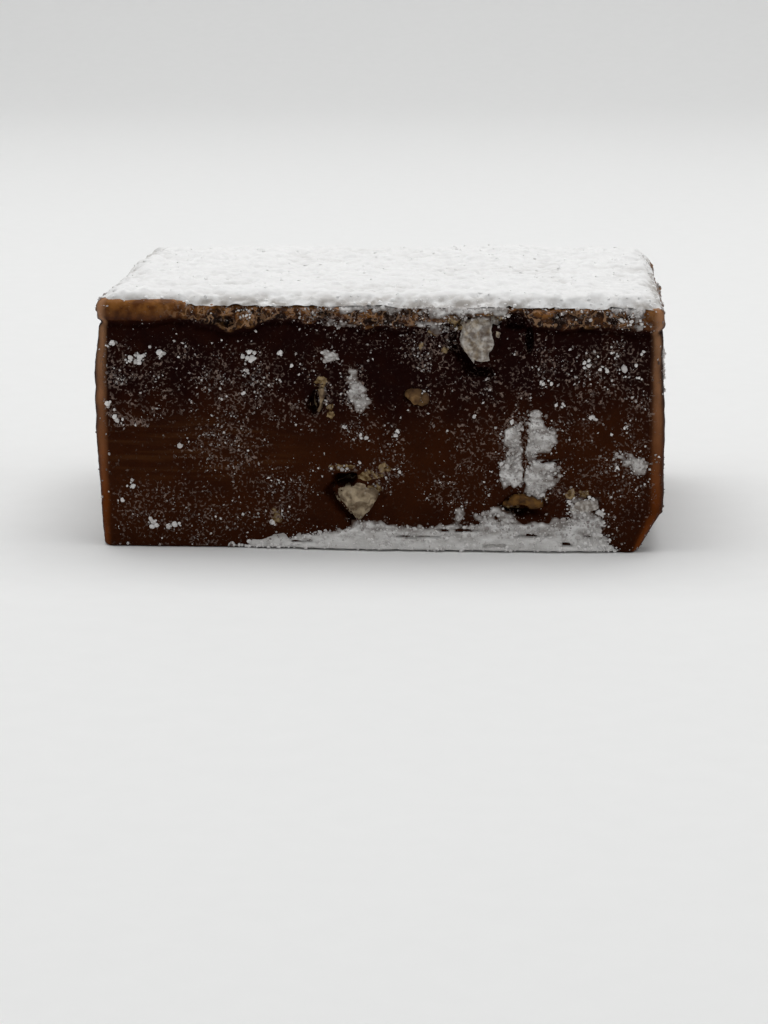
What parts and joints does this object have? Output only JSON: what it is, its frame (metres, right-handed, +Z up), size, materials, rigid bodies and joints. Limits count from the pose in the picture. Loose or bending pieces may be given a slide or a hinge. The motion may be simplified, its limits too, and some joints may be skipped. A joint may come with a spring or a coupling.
{
  "type": "peanut butter meltaway",
  "caption": "Knife-cut block of soft nut chocolate with chopped peanut showing in its cut faces, under a thick dusting of icing sugar; a small sweet that rests flat.",
  "frame": {"origin": "middle of the flat underside", "axes": "+X along the long side, to the right as seen from the front; -Y out of the long cut face with the most sugar patches; +Z up, towards the sugared top"},
  "size_m": [0.036, 0.0259, 0.0168],
  "materials": {
    "chocolate": "cut milk chocolate, satin, dusty",
    "icing_sugar": "fine matt powder",
    "peanut": "chopped roasted peanut, slightly oily"
  },
  "bodies": {
    "root": {"chocolate_block": "chocolate", "icing_sugar_top": "icing_sugar", "peanut_bit_01": "peanut", "peanut_bit_02": "peanut", "peanut_bit_03": "peanut", "peanut_bit_04": "peanut", "peanut_bit_05": "peanut", "peanut_bit_06": "peanut", "peanut_bit_07": "peanut", "peanut_bit_08": "peanut", "peanut_bit_09": "peanut", "peanut_bit_10": "peanut", "peanut_bit_11": "peanut", "peanut_bit_12": "peanut", "peanut_bit_13": "peanut"}
  },
  "joints": []
}
